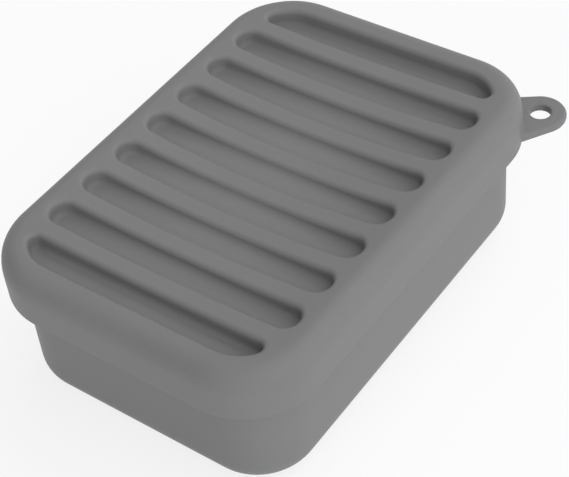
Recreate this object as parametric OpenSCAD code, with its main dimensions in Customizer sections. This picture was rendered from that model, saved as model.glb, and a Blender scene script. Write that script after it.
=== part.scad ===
// Travel soap box: a moulded silicone tub and a lift-off lid that grips its rim.
// Z is up and the tub's foot stands on z = 0, centred on the origin. X is the long side.
// The lid's top is a shallow dish with drain grooves across it, and a flat tab with a
// hanging hole grows out of the lid's lower edge at the corner on +X and -Y.

/* [Lid] */
// Length of the lid over its side walls
lid_l = 122.4; // [110:0.2:140]
// Width of the lid over its side walls
lid_w = 86; // [78:0.2:100]
// Plan radius of the lid's corners
lid_corner_r = 19; // [17:0.5:24]
// Height of the lid's side wall, from its lower edge to the top
lid_side_h = 13.6; // [12:0.1:18]
// Thickness of the lid's side wall
lid_wall = 2; // [1.6:0.1:2.4]
// Radius of the rounded edge round the lid's top
lid_edge_r = 5; // [3:0.1:6]

/* [Drain grooves] */
// Number of grooves across the lid
groove_count = 9; // [3:2:9]
// Distance from one groove to the next
groove_pitch = 12.5; // [11.5:0.1:12.8]
// Width of a groove between its walls
groove_w = 7.4; // [6:0.1:9]
// Depth of the grooves below the lid's rim
groove_depth = 4.2; // [3.2:0.1:4.6]
// Flat left between the rounded edge and the grooves
groove_margin = 2.6; // [1.5:0.1:3]
// How far the middle of the top lies below its rim
dish_depth = 2.8; // [0.8:0.1:2.8]

/* [Tub] */
// Overall height of the closed box
box_h = 42.8; // [38:0.2:60]
// Step from the lid's side in to the tub's side
tub_inset = 3.8; // [3.6:0.1:4.6]
// Thickness of the tub's wall and floor
tub_wall = 2; // [1.6:0.1:2.6]
// Radius of the rounded edge round the tub's foot
foot_edge_r = 7.6; // [5:0.2:9]
// Depth of the thickened band round the tub's mouth
rim_h = 3; // [2:0.2:4]

/* [Sealing lip] */
// Depth of the lip that plugs into the tub's mouth
lip_h = 4.4; // [3:0.2:6]
// Thickness of the lip
lip_t = 1.8; // [1.2:0.1:2.4]
// Gap between the lid and the tub on each side
fit_gap = 0.3; // [0.2:0.05:0.4]

/* [Drain ribs] */
// Number of ribs on the tub's floor
rib_count = 8; // [2:2:8]
// Height of the ribs above the floor
rib_h = 2.4; // [1.5:0.1:3]
// Width of a rib
rib_w = 2.6; // [2:0.1:4]
// Length of the longest rib
rib_l = 54; // [40:1:56]

/* [Hanging tab] */
// Thickness of the tab
tab_t = 2.2; // [1.6:0.1:3]
// Height of the tab above the lid's lower edge
tab_lift = 0.5; // [0:0.1:2]
// Radius of the tab's round end
tab_r = 6.5; // [5:0.1:8]
// Angle at which each side of the tab opens towards the lid, in degrees
tab_flare = 12; // [0:1:20]
// Diameter of the hanging hole
tab_hole_d = 5.3; // [4:0.1:7]
// Distance of the hole's centre from the lid's corner
tab_reach = 5.4; // [4.5:0.1:8]

/* [Hidden] */
$fn = 96;
silicone_grey = [0.47, 0.47, 0.47];
rib_grey = [0.43, 0.43, 0.43];

cut = 1;                                    // overshoot of a cutting solid past the face it opens
lid_foot = box_h - lid_side_h;              // height of the lid's lower edge
groove_floor = box_h - groove_depth;
groove_web = 1.4;                           // silicone left under a groove
roof = groove_floor - groove_web;           // underside of the lid's top, where the tub's rim stops
tub_l = lid_l - 2 * tub_inset;
tub_w = lid_w - 2 * tub_inset;
tub_r = lid_corner_r - tub_inset;
rim_out = tub_inset - lid_wall - fit_gap;   // how far the band stands out from the tub's wall
lip_in = tub_inset + tub_wall + fit_gap;    // step from the lid's side in to the lip
field_inset = lid_edge_r + groove_margin;   // step from the lid's side in to the grooves
field_l = lid_l - 2 * field_inset;
field_w = lid_w - 2 * field_inset;
field_r = lid_corner_r - field_inset;
dish_l = lid_l - 2 * lid_edge_r;
dish_w = lid_w - 2 * lid_edge_r;
tab_at = lid_corner_r + tab_reach;          // hole's distance from the centre of the corner's arc
tab_root = lid_corner_r - 3;                // the tab's sides run from here, inside that arc,
tab_end = tab_at + tab_r * sin(tab_flare);  // to here, where they meet the round end
tab_end_half = tab_r * cos(tab_flare);
tab_root_half = tab_end_half + (tab_end - tab_root) * tan(tab_flare);

// Half length of a rib at x: the ribs follow an ellipse, so the outer ones are shorter
function rib_half(x) = rib_l / 2 * sqrt(1 - pow(x / (0.62 * tub_l), 2));
// Sag of the dish along the line at x, full in the middle and nothing at the rim
function sag(x) = dish_depth * (1 - pow(2 * x / dish_l, 2));

// A rectangle with round corners, of straight lines and true arcs
module round_rect(l, w, r) {
    square([l - 2 * r, w], center = true);
    square([l, w - 2 * r], center = true);
    for (sx = [-1, 1], sy = [-1, 1])
        translate([sx * (l / 2 - r), sy * (w / 2 - r)]) circle(r);
}

module slab(l, w, r, z0, z1) {
    translate([0, 0, z0]) linear_extrude(z1 - z0) round_rect(l, w, r);
}

// Sweeps a profile round a rounded rectangle: its x is the distance out from the line
// through the corner centres, its y is the height
module sweep_round(l, w, r) {
    for (q = [0:3]) {
        even = q % 2 == 0;
        across = (even ? l : w) / 2 - r;
        along = (even ? w : l) / 2 - r;
        rotate(90 * q) {
            translate([across, 0, 0]) rotate([90, 0, 0])
                linear_extrude(2 * along, center = true) children();
            translate([across, along, 0]) rotate_extrude(angle = 90) children();
        }
    }
}

module lid_profile() {
    translate([0, lid_foot]) square([lid_corner_r, lid_side_h - lid_edge_r]);
    translate([0, lid_foot]) square([lid_corner_r - lid_edge_r, lid_side_h]);
    translate([lid_corner_r - lid_edge_r, box_h - lid_edge_r]) circle(lid_edge_r);
}

module lid_block() {
    sweep_round(lid_l, lid_w, lid_corner_r) lid_profile();
    translate([0, 0, lid_foot + lid_side_h / 2])
        cube([lid_l - 2 * lid_corner_r, lid_w - 2 * lid_corner_r, lid_side_h], center = true);
}

// Each groove is a strip with round ends, kept inside the rounded field
module groove(x) {
    half = field_w / 2 - groove_w / 2;
    translate([0, 0, groove_floor]) linear_extrude(groove_depth + cut)
        intersection() {
            union() {
                translate([x, 0]) square([groove_w, 2 * half], center = true);
                for (s = [-1, 1]) translate([x, s * half]) circle(groove_w / 2);
            }
            round_rect(field_l, field_w, field_r);
        }
}

// The dish is cut ridge by ridge, each with its own arc across the lid
module dish_band(x) {
    s = sag(x);
    arc_r = (pow(dish_w / 2, 2) + s * s) / (2 * s);
    intersection() {
        translate([x, 0, box_h - s + arc_r]) rotate([0, 90, 0])
            cylinder(h = groove_pitch, r = arc_r, center = true, $fn = 360);
        translate([x, 0, box_h]) cube([groove_pitch, dish_w + cut, 4 * dish_depth], center = true);
    }
}

module lid() {
    color(silicone_grey) difference() {
        lid_block();
        slab(lid_l - 2 * lid_wall, lid_w - 2 * lid_wall, lid_corner_r - lid_wall, lid_foot - cut, roof);
        for (k = [1:groove_count]) groove((k - (groove_count + 1) / 2) * groove_pitch);
        for (k = [1:groove_count - 1]) dish_band((k - groove_count / 2) * groove_pitch);
    }
}

// A ring under the lid's top that fits inside the tub's mouth
module sealing_lip() {
    color(silicone_grey) difference() {
        slab(lid_l - 2 * lip_in, lid_w - 2 * lip_in, lid_corner_r - lip_in, roof - lip_h, roof);
        slab(lid_l - 2 * (lip_in + lip_t), lid_w - 2 * (lip_in + lip_t),
             lid_corner_r - lip_in - lip_t, roof - lip_h - cut, roof + cut);
    }
}

// A flat tongue whose straight sides run tangent from its round end and open towards the lid,
// cut to the arc of the corner that it grows from
module hang_tab() {
    color(silicone_grey)
    translate([lid_l / 2 - lid_corner_r, lid_corner_r - lid_w / 2, lid_foot + tab_lift]) rotate(-45)
        difference() {
            union() {
                translate([tab_at, 0, 0]) cylinder(h = tab_t, r = tab_r);
                linear_extrude(tab_t) polygon([
                    [tab_root, -tab_root_half], [tab_end, -tab_end_half],
                    [tab_end, tab_end_half], [tab_root, tab_root_half]]);
            }
            translate([0, 0, -cut]) cylinder(h = tab_t + 2 * cut, r = lid_corner_r);
            translate([tab_at, 0, -cut]) cylinder(h = tab_t + 2 * cut, d = tab_hole_d);
        }
}

module tub_profile() {
    inner_r = foot_edge_r - tub_wall;
    bend = tub_r - foot_edge_r;
    difference() {
        union() {
            translate([0, foot_edge_r]) square([tub_r, roof - foot_edge_r]);
            square([bend, roof]);
            translate([bend, foot_edge_r]) circle(foot_edge_r);
            polygon([
                [tub_r - tub_wall, roof], [tub_r - tub_wall, roof - rim_h - rim_out],
                [tub_r, roof - rim_h - rim_out], [tub_r + rim_out, roof - rim_h], [tub_r + rim_out, roof]]);
        }
        translate([-cut, tub_wall]) square([bend + cut, roof]);
        translate([-cut, foot_edge_r]) square([tub_r - tub_wall + cut, roof]);
        translate([bend, foot_edge_r]) circle(inner_r);
    }
}

module tub() {
    color(silicone_grey) {
        sweep_round(tub_l, tub_w, tub_r) tub_profile();
        translate([0, 0, tub_wall / 2])
            cube([tub_l - 2 * tub_r, tub_w - 2 * tub_r, tub_wall], center = true);
    }
}

// Low ribs across the floor that hold the soap clear of the water
module drain_ribs() {
    color(rib_grey) for (k = [1:rib_count]) {
        x = (k - (rib_count + 1) / 2) * groove_pitch;
        half = rib_half(x) - rib_w / 2;
        translate([x, 0, tub_wall]) {
            translate([0, 0, rib_h / 2]) cube([rib_w, 2 * half, rib_h], center = true);
            for (s = [-1, 1]) translate([0, s * half, 0]) cylinder(h = rib_h, d = rib_w);
        }
    }
}

tub();
drain_ribs();
lid();
sealing_lip();
hang_tab();
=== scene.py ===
"""Looks of the travel soap box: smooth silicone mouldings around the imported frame."""
import math

import bmesh
import bpy
from mathutils import Matrix, Vector
from mathutils.geometry import delaunay_2d_cdt


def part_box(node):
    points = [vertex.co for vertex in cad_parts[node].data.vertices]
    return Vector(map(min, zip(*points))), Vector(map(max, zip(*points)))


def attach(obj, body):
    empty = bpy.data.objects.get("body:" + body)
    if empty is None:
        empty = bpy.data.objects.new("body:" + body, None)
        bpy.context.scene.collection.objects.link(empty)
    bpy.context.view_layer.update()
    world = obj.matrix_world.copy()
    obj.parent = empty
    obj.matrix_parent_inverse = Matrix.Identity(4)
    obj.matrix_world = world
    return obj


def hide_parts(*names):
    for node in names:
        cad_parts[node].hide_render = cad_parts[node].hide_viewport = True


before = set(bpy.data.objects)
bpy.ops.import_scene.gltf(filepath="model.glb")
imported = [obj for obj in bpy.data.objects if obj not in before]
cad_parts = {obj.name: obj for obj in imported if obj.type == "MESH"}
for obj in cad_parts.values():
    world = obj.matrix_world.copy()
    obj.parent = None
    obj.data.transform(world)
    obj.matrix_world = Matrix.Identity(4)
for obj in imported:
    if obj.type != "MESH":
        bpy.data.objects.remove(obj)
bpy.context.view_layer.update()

MM = 0.001

# Sizes in millimetres, read off the frame where the frame holds them
lid_lo, lid_hi = (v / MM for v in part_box("lid"))
tub_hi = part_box("tub")[1] / MM
lip_lo, lip_hi = (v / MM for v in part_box("sealing_lip"))
rib_lo, rib_hi = (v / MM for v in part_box("drain_ribs"))
tab_lo, tab_hi = (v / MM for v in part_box("hang_tab"))

# Lid: its plan, its walls and its rounded top edge
LID_L = lid_hi.x - lid_lo.x
LID_W = lid_hi.y - lid_lo.y
LID_R = 19.0
LID_TOP = lid_hi.z
LID_FOOT = lid_lo.z
LID_WALL = 2.0
ROOF = tub_hi.z
EDGE_IN = 5.4
EDGE_DOWN = 6.4
EDGE_POWER = 2.4            # 2 is an ellipse, more is squarer
EDGE_STEPS = 20
LID_FOOT_R = 0.6
LID_FOOT_IN_R = 0.4
ROOF_R = 1.2
ROOF_RING = 1.8             # the underside's last ring lies this far inside the lip

# The dish in the lid's top
DISH = 2.85
DISH_INSET = 5.0
DISH_EASE = 0.06            # how softly the dish runs out at the rim

# Grooves: the field that holds them, their plan and their walls
GROOVES = 9
PITCH = 12.5
GROOVE_FLOOR = LID_TOP - 4.2
FLOOR_SAG = 0.3
GROOVE_HALF = 4.8
GROOVE_REACH = 36.93
FIELD_SHIFT = (-0.2, 0.28)
FIELD_HALF = 54.85
FIELD_R = 12.4
OUTER_END_R = 3.2
TOP_R = 1.4
FLOOR_R = 1.6
WALL_SLOPE = math.radians(84)
SHORTEST = 0.03             # the straight part of a shallow wall
SHOULDER = 0.1              # the ridge's first ring lies this far outside the groove
FLOOR_MARGIN = 0.5          # the floor's first ring lies this far inside the wall
SMALLEST_R = 0.05           # the ends of the floor's first ring are at least this round

# Tub: its walls, its foot and the band round its mouth
TUB_INSET = 3.8
TUB_WALL = 2.0
FOOT_R = 7.2
BAND_OUT = 1.5
BAND_H = 3.0
BAND_BEVEL = 0.35
BAND_EASE = 0.6
RIM_R = 0.7

# Sealing lip under the lid
LIP_INSET = (LID_L - (lip_hi.x - lip_lo.x)) / 2
LIP_T = 1.8
LIP_R = 0.6
LIP_BEVEL = 0.15

# Drain ribs: their ends lie on an ellipse, RIB_SPAN of the tub's length to each side
RIBS = 8
RIB_HALF_L = 27.0
RIB_SPAN = 0.62
RIB_TOP_R = 0.9
RIB_FILLET = ((-0.75, -0.1), (-0.7, 0), (-0.35, 0.12), (-0.1, 0.4), (0, 0.8))

# Tab: its distances run from the centre of the lid's corner
TAB_R = 6.55
TAB_AT = 24.35
TAB_TURN = math.radians(-45)
TAB_FLARE = math.radians(11.7)
TAB_EDGE_R = 0.95
TAB_HOLE_R = 2.65
HOLE_EDGE_R = 0.45
ROOT_R = 0.8
ROOT_RISE = 0.5
ROOT_SINK = (0.3, 0.6)      # how deep the root's ends run into the lid

# How far from a rounding a ring of vertices holds the flat wall beside it
HOLD_NEAR = 0.4
HOLD = 1.5
HOLD_FAR = 3.0

# Steps round the lid's corners, along its sides, and round small arcs
CORNER_STEPS = 20
LONG_STEPS = 34
SHORT_STEPS = 24
SMALL_STEPS = 5
SOFT_STEPS = 7
FOOT_STEPS = 16

# The photograph's camera: the frame in pixels, the rest in degrees and millimetres
FRAME_W, FRAME_H = 569, 477
CAM_FOCAL = 1614.1
CAM_CENTRE = (247, 224)
CAM_AZIMUTH, CAM_ELEVATION, CAM_ROLL = -138.492, 43.913, -7.868
CAM_TARGET = (-19.427, -8.241, LID_TOP)
CAM_DISTANCE = 371.55

# Large soft light panels: azimuth, elevation, strength
PANELS = (
    (270, 6, 3.5),
    (225, 6, 2.7),
    (0, 58, 2.4),
    (0, 30, 2.1),
    (300, 58, 2.0),
    (180, 30, 1.3),
    (240, 58, 1.2),
    (120, 58, 0.5),
    (225, 30, 0.4),
)
PANEL_FOCUS = 12

FLOOR_HALF = 3000
FLOOR_TONE = 0.93
FLOOR_GAP = 0.05            # keeps the floor's face and the foot's apart
FLOOR_GLOW = 0.8            # share of plain white where the floor is seen directly

# The silicone: its tone, its gloss, and its clouds and grain, whose scales are per metre
TONE = 0.19
ROUGHNESS = (0.47, 0.53)
SILICONE_IOR = 1.45
CLOUD_SCALE = 60
CLOUD_TONE = 0.025
GRAIN_SCALE = 2600
GRAIN_TONE = 0.035
GRAIN_DEPTH = 0.05
GRAIN_BUMP = 0.25


def new_object(name, bm, smooth=True):
    """Turns a bmesh in millimetres into an object in metres."""
    bmesh.ops.recalc_face_normals(bm, faces=bm.faces)
    mesh = bpy.data.meshes.new(name)
    bm.to_mesh(mesh)
    bm.free()
    mesh.transform(Matrix.Scale(MM, 4))
    if smooth:
        mesh.shade_smooth()
    obj = bpy.data.objects.new(name, mesh)
    bpy.context.scene.collection.objects.link(obj)
    return obj


def direction(azimuth, elevation):
    """Unit vector at an azimuth and an elevation in degrees."""
    a, e = math.radians(azimuth), math.radians(elevation)
    return Vector((math.cos(e) * math.cos(a), math.cos(e) * math.sin(a), math.sin(e)))


def round_plan(inset):
    """Plan points of the lid's rounded rectangle, stepped in by inset, anticlockwise."""
    half_l, half_w = LID_L / 2 - LID_R, LID_W / 2 - LID_R
    r = LID_R - inset
    pts = []
    corners = ((1, 1, 0), (-1, 1, 90), (-1, -1, 180), (1, -1, 270))
    for n, (sx, sy, start) in enumerate(corners):
        cx, cy = sx * half_l, sy * half_w
        for i in range(CORNER_STEPS + 1):
            a = math.radians(start + 90 * i / CORNER_STEPS)
            pts.append((cx + r * math.cos(a), cy + r * math.sin(a)))
        nx, ny, _ = corners[(n + 1) % 4]
        a = math.radians(start + 90)
        here = (cx + r * math.cos(a), cy + r * math.sin(a))
        there = (nx * half_l + r * math.cos(a), ny * half_w + r * math.sin(a))
        steps = LONG_STEPS if n % 2 == 0 else SHORT_STEPS
        for i in range(1, steps):
            t = i / steps
            pts.append((here[0] + (there[0] - here[0]) * t, here[1] + (there[1] - here[1]) * t))
    return pts


def bowl(u):
    """1 in the middle and 0 at the rim, with the slope eased out at the rim."""
    a = 1 - u * u
    return (a + math.sqrt(a * a + DISH_EASE ** 2)) / 2


def sag(x, y):
    """How far the lid's top lies below its rim at a point."""
    across_x = 2 * abs(x) / (LID_L - 2 * DISH_INSET)
    across_y = 2 * abs(y) / (LID_W - 2 * DISH_INSET)
    return DISH * bowl(across_x) * bowl(across_y)


def lid_top(x, y):
    """Height of the lid's dished top at a point."""
    return LID_TOP - sag(x, y)


def groove_floor(x, y):
    """Height of a groove's floor at a point: nearly level, a little lower in the middle."""
    return GROOVE_FLOOR - FLOOR_SAG * sag(x, y) / DISH


def arc_steps(cx, cz, r, a0, a1, n):
    """(inset, height) points on an arc; inset grows inwards."""
    out = []
    for i in range(n + 1):
        a = math.radians(a0 + (a1 - a0) * i / n)
        out.append((cx + r * math.cos(a), cz + r * math.sin(a)))
    return out


def edge_steps(n):
    """(inset, height) points round the lid's top edge, from the top to the side."""
    out = []
    for i in range(n + 1):
        a = math.pi / 2 * (i / n)
        across = EDGE_IN * math.sin(a) ** (2 / EDGE_POWER)
        up = EDGE_DOWN * math.cos(a) ** (2 / EDGE_POWER) if i < n else 0
        out.append((EDGE_IN - across, LID_TOP - EDGE_DOWN + up))
    return out


def loft(bm, rings):
    """Joins rings of the same number of vertices with quads."""
    for lower, upper in zip(rings, rings[1:]):
        n = len(lower)
        for i in range(n):
            bm.faces.new((lower[i], lower[(i + 1) % n], upper[(i + 1) % n], upper[i]))


def end_radius(k):
    """Radius of the round ends of groove k."""
    return OUTER_END_R if k in (0, GROOVES - 1) else GROOVE_HALF


def groove_loop(k, shrink):
    """Plan of groove k, drawn in by shrink: a strip with round ends, kept inside the rounded field."""
    end_steps, run_steps = 32, 30
    x = (k - (GROOVES - 1) / 2) * PITCH
    r = end_radius(k)
    if k in (0, GROOVES - 1):
        return outer_groove_loop(x, r, shrink)
    pts = []
    reach = GROOVE_REACH - GROOVE_HALF
    for s, start in ((1, 0), (-1, 180)):
        for i in range(end_steps + 1):
            a = math.radians(start + 180 * i / end_steps)
            pts.append((x + (r - shrink) * math.cos(a), s * reach + (r - shrink) * math.sin(a)))
        for i in range(1, run_steps):
            pts.append((x - s * (r - shrink), s * reach * (1 - 2 * i / run_steps)))
    return [(px + FIELD_SHIFT[0], py + FIELD_SHIFT[1]) for px, py in pts]


def outer_groove_loop(x, r, shrink):
    """Plan of the first or last groove: its outer side follows the field's round corners."""
    corner_steps, turn_steps, inner_steps, outer_steps = 24, 16, 30, 20
    core_in = PITCH * (GROOVES - 1) / 2 - GROOVE_HALF + r
    core_out = FIELD_HALF - r
    core_r = FIELD_R - r
    cx, cy = FIELD_HALF - FIELD_R, GROOVE_REACH - FIELD_R
    corner_y = cy + math.sqrt(core_r ** 2 - (core_in - cx) ** 2)
    top_a = math.atan2(corner_y - cy, core_in - cx)
    core = []
    for i in range(corner_steps + 1):
        a = top_a * i / corner_steps
        core.append((cx + core_r * math.cos(a), cy + core_r * math.sin(a), a))
    for i in range(1, turn_steps + 1):
        core.append((core_in, corner_y, top_a + (math.pi - top_a) * i / turn_steps))
    half = [(px + (r - shrink) * math.cos(a), py + (r - shrink) * math.sin(a)) for px, py, a in core]
    other_half = [(px, -py) for px, py in reversed(half)]
    inner_x, outer_x = core_in - r + shrink, core_out + r - shrink
    inner_run = [(inner_x, corner_y * (1 - 2 * i / inner_steps)) for i in range(1, inner_steps)]
    outer_run = [(outer_x, cy * (2 * i / outer_steps - 1)) for i in range(1, outer_steps)]
    side = 1 if x > 0 else -1
    pts = half + inner_run + other_half + outer_run
    pts = [(side * px + FIELD_SHIFT[0], py + FIELD_SHIFT[1]) for px, py in pts]
    return pts if side > 0 else pts[::-1]


def wall_profile(depth):
    """(step in, drop) down a groove's wall: a round top edge, a wall and a round bottom."""
    limit = (TOP_R + FLOOR_R) * (1 - math.cos(WALL_SLOPE))
    slope = WALL_SLOPE
    if depth < limit + SHORTEST:
        slope = math.acos(1 - (depth - SHORTEST) / (TOP_R + FLOOR_R))
    straight = max(SHORTEST, depth - limit) / math.sin(slope)
    steps = []
    for i in range(SOFT_STEPS + 1):
        a = slope * i / SOFT_STEPS
        steps.append((TOP_R * math.sin(a), TOP_R * (1 - math.cos(a))))
    d, z = steps[-1]
    d += straight * math.cos(slope)
    z += straight * math.sin(slope)
    for i in range(SOFT_STEPS + 1):
        a = slope * (1 - i / SOFT_STEPS)
        across = FLOOR_R * (math.sin(slope) - math.sin(a))
        down = FLOOR_R * (math.cos(a) - math.cos(slope))
        steps.append((d + across, z + down))
    return steps


def groove_rings(bm, k):
    """Rings of vertices from the ridge's edge down to the groove's floor."""
    edge = groove_loop(k, 0)
    tops = [lid_top(x, y) for x, y in edge]
    walls = [wall_profile(top - groove_floor(x, y)) for top, (x, y) in zip(tops, edge)]
    rings = [[bm.verts.new((x, y, lid_top(x, y))) for x, y in groove_loop(k, -SHOULDER)]]
    for j in range(len(walls[0])):
        loops = {}
        ring = []
        for i, (wall, top) in enumerate(zip(walls, tops)):
            step_in, drop = wall[j]
            key = round(step_in, 6)
            if key not in loops:
                loops[key] = groove_loop(k, step_in)
            x, y = loops[key][i]
            ring.append(bm.verts.new((x, y, top - drop)))
        rings.append(ring)
    shrink = min(walls[0][-1][0] + FLOOR_MARGIN, end_radius(k) - SMALLEST_R)
    rings.append([bm.verts.new((x, y, groove_floor(x, y))) for x, y in groove_loop(k, shrink)])
    return rings


def inside(pt, loop):
    """Whether a plan point lies inside a closed loop."""
    x, y = pt
    hit = False
    for (x0, y0), (x1, y1) in zip(loop, loop[1:] + loop[:1]):
        if (y0 > y) != (y1 > y) and x < (x1 - x0) * (y - y0) / (y1 - y0) + x0:
            hit = not hit
    return hit


def near_loop(x, y, loop, gap):
    """Whether a plan point lies nearer than gap to one of the loop's points."""
    return any((x - px) ** 2 + (y - py) ** 2 < gap * gap for px, py in loop)


def plan(ring):
    """Plan points of a ring of vertices."""
    return [(v.co.x, v.co.y) for v in ring]


def plan_box(loop):
    """Lowest x, highest x, lowest y and highest y of a loop."""
    xs = [p[0] for p in loop]
    ys = [p[1] for p in loop]
    return min(xs), max(xs), min(ys), max(ys)


def fill_between(bm, outer, holes, height, extra):
    """Fills the plan region inside outer and outside holes with triangles, using the rings' own vertices."""
    flat, verts, edges = [], [], []
    for ring in [outer] + holes:
        base = len(flat)
        for i, v in enumerate(ring):
            flat.append(Vector((v.co.x, v.co.y)))
            verts.append(v)
            edges.append((base + i, base + (i + 1) % len(ring)))
    for x, y in extra:
        flat.append(Vector((x, y)))
        verts.append(bm.verts.new((x, y, height(x, y))))
    coords, _, faces, orig, _, _ = delaunay_2d_cdt(flat, edges, [], 1, 1e-5)
    loops = [plan(ring) for ring in holes]
    boxes = [plan_box(loop) for loop in loops]
    for face in faces:
        x = sum(coords[i].x for i in face) / len(face)
        y = sum(coords[i].y for i in face) / len(face)
        if any(b[0] < x < b[1] and b[2] < y < b[3] and inside((x, y), lp) for b, lp in zip(boxes, loops)):
            continue
        bm.faces.new([verts[orig[i][0]] for i in face])


def grid_points(outer, loops, step, gap):
    """Plan points on a grid that lie inside outer, outside the loops, and clear of both."""
    x_lo, x_hi, y_lo, y_hi = plan_box(outer)
    pts = []
    for i in range(int((x_hi - x_lo) / step)):
        for j in range(int((y_hi - y_lo) / step)):
            x, y = x_lo + (i + 0.5) * step, y_lo + (j + 0.5) * step
            if not inside((x, y), outer) or near_loop(x, y, outer, gap):
                continue
            if any(inside((x, y), lp) or near_loop(x, y, lp, gap) for lp in loops):
                continue
            pts.append((x, y))
    return pts


def lid_profile():
    """(inset, height) points from the lid's top, round its outside and its lip, to its underside."""
    lip_in = LIP_INSET + LIP_T
    lip_z = lip_lo.z + LIP_R
    pts = edge_steps(EDGE_STEPS)
    pts += [(0, LID_TOP - EDGE_DOWN - HOLD), (0, LID_FOOT + HOLD_FAR), (0, LID_FOOT + LID_FOOT_R + HOLD_NEAR)]
    pts += arc_steps(LID_FOOT_R, LID_FOOT + LID_FOOT_R, LID_FOOT_R, 180, 270, SMALL_STEPS)
    pts += arc_steps(LID_WALL - LID_FOOT_IN_R, LID_FOOT + LID_FOOT_IN_R, LID_FOOT_IN_R, 270, 360, SMALL_STEPS)
    pts += [(LID_WALL, LID_FOOT + HOLD_FAR), (LID_WALL, ROOF - ROOF_R - HOLD)]
    pts += arc_steps(LID_WALL + ROOF_R, ROOF - ROOF_R, ROOF_R, 180, 90, SMALL_STEPS)
    pts += [(LIP_INSET - LIP_BEVEL, ROOF), (LIP_INSET, ROOF - LIP_BEVEL), (LIP_INSET, lip_z + LIP_R)]
    pts += arc_steps(LIP_INSET + LIP_R, lip_z, LIP_R, 180, 270, SMALL_STEPS)
    pts += arc_steps(lip_in - LIP_R, lip_z, LIP_R, 270, 360, SMALL_STEPS)
    pts += [(lip_in, ROOF - ROOF_R - HOLD_NEAR)]
    pts += arc_steps(lip_in + ROOF_R, ROOF - ROOF_R, ROOF_R, 180, 90, SMALL_STEPS)
    pts += [(lip_in + ROOF_RING, ROOF)]
    return pts


def make_lid():
    """One closed moulding: the dished top with its grooves, the side wall and the sealing lip."""
    grid, clear = 2.6, 0.9
    floor_grid, floor_clear = 1.3, 0.4
    margin = 0.01
    bm = bmesh.new()
    rings = []
    for inset, z in lid_profile():
        # The round top edge and the roof both follow the dish
        dished = z > LID_TOP - EDGE_DOWN - margin
        rings.append([bm.verts.new((x, y, z - (sag(x, y) if dished else 0))) for x, y in round_plan(inset)])
    loft(bm, rings)
    bm.faces.new(rings[-1])
    holes = []
    for k in range(GROOVES):
        wall = groove_rings(bm, k)
        loft(bm, wall)
        floor_points = grid_points(plan(wall[-1]), [], floor_grid, floor_clear)
        fill_between(bm, wall[-1], [], groove_floor, floor_points)
        holes.append(wall[0])
    ridge_points = grid_points(plan(rings[0]), [plan(hole) for hole in holes], grid, clear)
    fill_between(bm, rings[0], holes, lid_top, ridge_points)
    lid = new_object("lid_moulding", bm)
    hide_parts("lid", "sealing_lip")
    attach(lid, "lid")
    return lid


def tub_profile():
    """(inset, height) points from the foot, up the outside, over the rim, to the tub's floor."""
    inner = TUB_INSET + TUB_WALL
    band = TUB_INSET - BAND_OUT
    band_top = ROOF - BAND_H
    band_foot = band_top - BAND_OUT
    foot = TUB_INSET + FOOT_R
    pts = [(foot + HOLD, 0)]
    pts += arc_steps(foot, FOOT_R, FOOT_R, 270, 180, FOOT_STEPS)
    pts += [(TUB_INSET, FOOT_R + HOLD), (TUB_INSET, LID_FOOT), (TUB_INSET, band_foot - BAND_EASE)]
    pts += [(TUB_INSET - BAND_BEVEL, band_foot + BAND_BEVEL), (band + BAND_BEVEL, band_top - BAND_BEVEL)]
    pts += [(band, band_top + BAND_EASE)]
    pts += arc_steps(band + RIM_R, ROOF - RIM_R, RIM_R, 180, 90, SMALL_STEPS)
    pts += arc_steps(inner - RIM_R, ROOF - RIM_R, RIM_R, 90, 0, SMALL_STEPS)
    pts += [(inner, ROOF - RIM_R - HOLD), (inner, FOOT_R + HOLD)]
    pts += arc_steps(foot, FOOT_R, FOOT_R - TUB_WALL, 180, 270, FOOT_STEPS)
    pts += [(foot + HOLD, TUB_WALL)]
    return pts


def make_tub():
    """One closed moulding: the box with its round foot and the band round its mouth."""
    bm = bmesh.new()
    rings = [[bm.verts.new((x, y, z)) for x, y in round_plan(inset)] for inset, z in tub_profile()]
    loft(bm, rings)
    bm.faces.new(rings[0][::-1])
    bm.faces.new(rings[-1])
    tub = new_object("tub_moulding", bm)
    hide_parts("tub")
    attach(tub, "tub")
    return tub


def make_ribs():
    """Round-ended bars on the tub's floor, shorter to the ends, each with a fillet at its foot."""
    end_steps, top_steps = 16, 6
    bm = bmesh.new()
    half_w = (rib_hi.x - rib_lo.x - (RIBS - 1) * PITCH) / 2
    span = RIB_SPAN * (LID_L - 2 * TUB_INSET)
    profile = [(inset, rib_lo.z + rise) for inset, rise in RIB_FILLET]
    profile += arc_steps(RIB_TOP_R, rib_hi.z - RIB_TOP_R, RIB_TOP_R, 180, 90, top_steps)
    for k in range(RIBS):
        x = (k - (RIBS - 1) / 2) * PITCH
        reach = RIB_HALF_L * math.sqrt(1 - (x / span) ** 2) - half_w
        rings = []
        for inset, z in profile:
            r = half_w - inset
            ring = []
            for s, start in ((1, 0), (-1, 180)):
                for i in range(end_steps + 1):
                    a = math.radians(start + 180 * i / end_steps)
                    ring.append(bm.verts.new((x + r * math.cos(a), s * reach + r * math.sin(a), z)))
            rings.append(ring)
        loft(bm, rings)
        bm.faces.new(rings[-1])
        bm.faces.new(rings[0][::-1])
    ribs = new_object("rib_moulding", bm)
    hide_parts("drain_ribs")
    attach(ribs, "tub")
    return ribs


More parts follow.
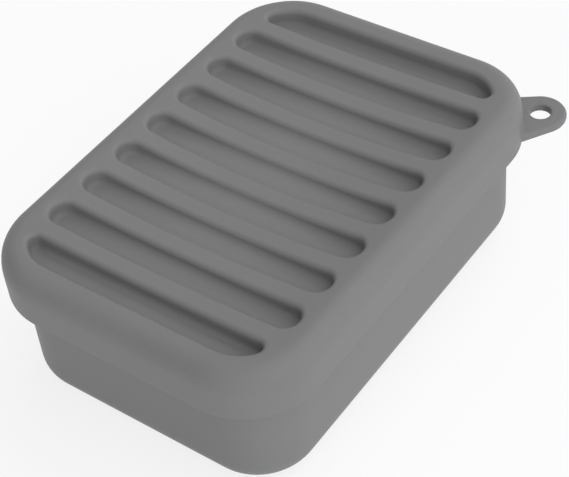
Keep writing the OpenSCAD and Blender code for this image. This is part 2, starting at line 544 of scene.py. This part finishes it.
def tab_side(inset):
    """One side of the tab, from its round end to inside the lid's corner, through a small root fillet.

    The plan is in the tab's own frame: first the distance from the corner's centre, then sideways."""
    line_steps, root_steps = 10, 8
    r = TAB_R - inset
    out = Vector((math.sin(TAB_FLARE), math.cos(TAB_FLARE)))
    along = Vector((-math.cos(TAB_FLARE), math.sin(TAB_FLARE)))
    base = Vector((TAB_AT, 0)) + r * out
    root_r = ROOT_R + inset
    reach = LID_R + ROOT_R
    offset = base + root_r * out
    b = offset.dot(along)
    centre = offset + along * (-b - math.sqrt(b * b - offset.length_squared + reach * reach))
    start = centre - root_r * out
    end = centre * (1 - root_r / centre.length)
    pts = [base.lerp(start, i / line_steps) for i in range(1, line_steps)]
    a0 = math.atan2(*(start - centre).yx)
    turn = math.atan2(*(end - centre).yx) - a0
    turn = (turn + math.pi) % (2 * math.pi) - math.pi
    for i in range(root_steps + 1):
        a = a0 + turn * i / root_steps
        pts.append(centre + root_r * Vector((math.cos(a), math.sin(a))))
    pts += [end * (1 - depth / end.length) for depth in ROOT_SINK]
    return [tuple(p) for p in pts]


def tab_outline(inset):
    """Closed plan of the tab stepped in by inset, anticlockwise."""
    tip_steps, root_steps = 48, 20
    r = TAB_R - inset
    half_turn = math.pi / 2 - TAB_FLARE
    tip = []
    for i in range(tip_steps + 1):
        a = half_turn * (2 * i / tip_steps - 1)
        tip.append((TAB_AT + r * math.cos(a), r * math.sin(a)))
    upper = tab_side(inset)
    root_a = math.atan2(upper[-1][1], upper[-1][0])
    root_at = math.hypot(*upper[-1])
    root = []
    for i in range(1, root_steps):
        a = root_a * (1 - 2 * i / root_steps)
        root.append((root_at * math.cos(a), root_at * math.sin(a)))
    return tip + upper + root + [(px, -py) for px, py in reversed(upper)]


def root_rise(px, py):
    """Height of the small fillet where the tab's top meets the lid's side."""
    d = max(0.0, math.hypot(px, py) - LID_R)
    if d >= ROOT_RISE:
        return 0.0
    return ROOT_RISE - math.sqrt(ROOT_RISE ** 2 - (ROOT_RISE - d) ** 2)


def root_points(top_loop):
    """Plan points in rows along the fillet at the tab's root, closer where it is steeper."""
    rows = (0.0, 0.05, 0.12, 0.22, 0.35, 0.5, 0.8)
    each_side, turn, clear = 40, math.radians(0.8), 0.15
    pts = []
    for d in rows:
        for i in range(-each_side, each_side + 1):
            p = ((LID_R + d) * math.cos(i * turn), (LID_R + d) * math.sin(i * turn))
            if inside(p, top_loop) and not near_loop(p[0], p[1], top_loop, clear):
                pts.append(p)
    return pts


def make_tab():
    """The tab's side lines run tangent from its round end and flare into the lid's corner."""
    round_steps, hole_steps = 8, 64
    grid, clear = 1.0, 0.5
    bm = bmesh.new()
    z0, z1 = tab_lo.z, tab_hi.z
    outer = []
    for inset, z in arc_steps(TAB_EDGE_R, z0 + TAB_EDGE_R, TAB_EDGE_R, 270, 180, round_steps):
        outer.append([bm.verts.new((px, py, z)) for px, py in tab_outline(inset)])
    for inset, z in arc_steps(TAB_EDGE_R, z1 - TAB_EDGE_R, TAB_EDGE_R, 180, 90, round_steps):
        outer.append([bm.verts.new((px, py, z + root_rise(px, py))) for px, py in tab_outline(inset)])
    loft(bm, outer)
    hole = []
    hole_profile = arc_steps(HOLE_EDGE_R, z1 - HOLE_EDGE_R, HOLE_EDGE_R, 90, 180, SMALL_STEPS)
    hole_profile += arc_steps(HOLE_EDGE_R, z0 + HOLE_EDGE_R, HOLE_EDGE_R, 180, 270, SMALL_STEPS)
    around = [2 * math.pi * i / hole_steps for i in range(hole_steps)]
    for grow, z in hole_profile:
        r = TAB_HOLE_R + grow
        hole.append([bm.verts.new((TAB_AT + r * math.cos(a), r * math.sin(a), z)) for a in around])
    loft(bm, hole)
    top_loop = plan(outer[-1])
    extra = root_points(top_loop)
    flat_points = grid_points(top_loop, [plan(hole[0])], grid, clear)
    extra += [p for p in flat_points if math.hypot(*p) > LID_R + grid]
    fill_between(bm, outer[-1], [hole[0]], lambda x, y: z1 + root_rise(x, y), extra)
    fill_between(bm, outer[0], [hole[-1]], lambda x, y: z0, [])
    corner = Matrix.Translation((LID_L / 2 - LID_R, LID_R - LID_W / 2, 0))
    bmesh.ops.transform(bm, matrix=corner @ Matrix.Rotation(TAB_TURN, 4, "Z"), verts=bm.verts)
    tab = new_object("tab_moulding", bm)
    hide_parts("hang_tab")
    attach(tab, "lid")
    return tab


def math_node(nt, operation, *values):
    """A math node; each value is a number or another node's output."""
    node = nt.nodes.new("ShaderNodeMath")
    node.operation = operation
    for socket, value in zip(node.inputs, values):
        if isinstance(value, (int, float)):
            socket.default_value = value
        else:
            nt.links.new(value, socket)
    return node.outputs[0]


def mix_shaders(nt, share, first, second):
    """Output of a mix of two shader nodes, where share is the second's part."""
    mix = nt.nodes.new("ShaderNodeMixShader")
    nt.links.new(share, mix.inputs[0])
    nt.links.new(first.outputs[0], mix.inputs[1])
    nt.links.new(second.outputs[0], mix.inputs[2])
    return mix.outputs[0]


def silicone(name, tone):
    """Satin silicone: a fine mould grain, and faint clouds in its tone and gloss."""
    mat = bpy.data.materials.new(name)
    mat.use_nodes = True
    nt = mat.node_tree
    link = nt.links.new
    bsdf = nt.nodes["Principled BSDF"]
    bsdf.inputs["IOR"].default_value = SILICONE_IOR
    place = nt.nodes.new("ShaderNodeTexCoord").outputs["Object"]

    def noise(scale, detail, rough):
        node = nt.nodes.new("ShaderNodeTexNoise")
        node.inputs["Scale"].default_value = scale
        node.inputs["Detail"].default_value = detail
        node.inputs["Roughness"].default_value = rough
        link(place, node.inputs["Vector"])
        return node.outputs["Fac"]

    def spread(value, low, high):
        node = nt.nodes.new("ShaderNodeMapRange")
        node.inputs["From Min"].default_value = 0.25
        node.inputs["From Max"].default_value = 0.75
        node.inputs["To Min"].default_value = low
        node.inputs["To Max"].default_value = high
        link(value, node.inputs["Value"])
        return node.outputs["Result"]

    cloud = noise(CLOUD_SCALE, 3, 0.5)
    grain = noise(GRAIN_SCALE, 2, 0.6)
    cloud_tone = spread(cloud, tone * (1 - CLOUD_TONE), tone * (1 + CLOUD_TONE))
    grain_tone = spread(grain, 1 - GRAIN_TONE, 1 + GRAIN_TONE)
    link(math_node(nt, "MULTIPLY", cloud_tone, grain_tone), bsdf.inputs["Base Color"])
    link(spread(cloud, *ROUGHNESS), bsdf.inputs["Roughness"])
    bump = nt.nodes.new("ShaderNodeBump")
    bump.inputs["Strength"].default_value = GRAIN_BUMP
    bump.inputs["Distance"].default_value = GRAIN_DEPTH * MM
    link(grain, bump.inputs["Height"])
    link(bump.outputs["Normal"], bsdf.inputs["Normal"])
    return mat


def make_camera():
    """The photograph's view: target, direction back to the camera, roll and an off-centre frame."""
    roll = math.radians(CAM_ROLL)
    back = direction(CAM_AZIMUTH, CAM_ELEVATION)
    level = (-back).cross(Vector((0, 0, 1))).normalized()
    rise = level.cross(-back)
    right = math.cos(roll) * level + math.sin(roll) * rise
    up = math.cos(roll) * rise - math.sin(roll) * level
    data = bpy.data.cameras.new("camera")
    data.sensor_width = 36
    data.lens = CAM_FOCAL / FRAME_W * data.sensor_width
    data.shift_x = (FRAME_W / 2 - CAM_CENTRE[0]) / FRAME_W
    data.shift_y = (CAM_CENTRE[1] - FRAME_H / 2) / FRAME_W
    cam = bpy.data.objects.new("camera", data)
    place = Matrix.Translation((Vector(CAM_TARGET) + back * CAM_DISTANCE) * MM)
    cam.matrix_world = place @ Matrix((right, up, back)).transposed().to_4x4()
    bpy.context.scene.collection.objects.link(cam)
    bpy.context.scene.camera = cam


def seen_directly(nt):
    """1 where a camera, glossy or transmission ray meets the background, 0 for the light on the object."""
    rays = nt.nodes.new("ShaderNodeLightPath").outputs
    camera_or_gloss = math_node(nt, "MAXIMUM", rays["Is Camera Ray"], rays["Is Glossy Ray"])
    return math_node(nt, "MAXIMUM", camera_or_gloss, rays["Is Transmission Ray"])


def make_world():
    """Soft light from large panels all round, and white to the camera and in reflections."""
    world = bpy.data.worlds.new("studio")
    bpy.context.scene.world = world
    world.use_nodes = True
    nt = world.node_tree
    nt.nodes.clear()
    link = nt.links.new
    ray = nt.nodes.new("ShaderNodeTexCoord").outputs["Generated"]
    total = 0
    for azimuth, elevation, strength in PANELS:
        dot = nt.nodes.new("ShaderNodeVectorMath")
        dot.operation = "DOT_PRODUCT"
        dot.inputs[1].default_value = direction(azimuth, elevation)
        link(ray, dot.inputs[0])
        front = math_node(nt, "MAXIMUM", dot.outputs["Value"], 0)
        spread = math_node(nt, "POWER", front, PANEL_FOCUS)
        total = math_node(nt, "MULTIPLY_ADD", spread, strength, total)
    panels = nt.nodes.new("ShaderNodeBackground")
    link(total, panels.inputs["Strength"])
    white = nt.nodes.new("ShaderNodeBackground")
    white.inputs["Strength"].default_value = 1
    surface = nt.nodes.new("ShaderNodeOutputWorld").inputs["Surface"]
    link(mix_shaders(nt, seen_directly(nt), panels, white), surface)


def make_floor():
    """A pale floor that lights the sides from below and keeps the object's shadow."""
    bm = bmesh.new()
    corners = ((-1, -1), (1, -1), (1, 1), (-1, 1))
    bm.faces.new([bm.verts.new((sx * FLOOR_HALF, sy * FLOOR_HALF, -FLOOR_GAP)) for sx, sy in corners])
    floor = new_object("floor", bm, False)
    mat = bpy.data.materials.new("pale_floor")
    mat.use_nodes = True
    nt = mat.node_tree
    nt.nodes.clear()
    paint = nt.nodes.new("ShaderNodeBsdfDiffuse")
    paint.inputs["Color"].default_value = (FLOOR_TONE, FLOOR_TONE, FLOOR_TONE, 1)
    glow = nt.nodes.new("ShaderNodeEmission")
    glow.inputs["Strength"].default_value = 1
    part = math_node(nt, "MULTIPLY", seen_directly(nt), FLOOR_GLOW)
    surface = nt.nodes.new("ShaderNodeOutputMaterial").inputs["Surface"]
    nt.links.new(mix_shaders(nt, part, paint, glow), surface)
    floor.data.materials.append(mat)


make_camera()
pieces = [make_lid(), make_tub(), make_ribs(), make_tab()]
material = silicone("silicone_grey", TONE)
for piece in pieces:
    piece.data.materials.append(material)
make_world()
make_floor()

bpy.context.scene.view_settings.view_transform = "Standard"
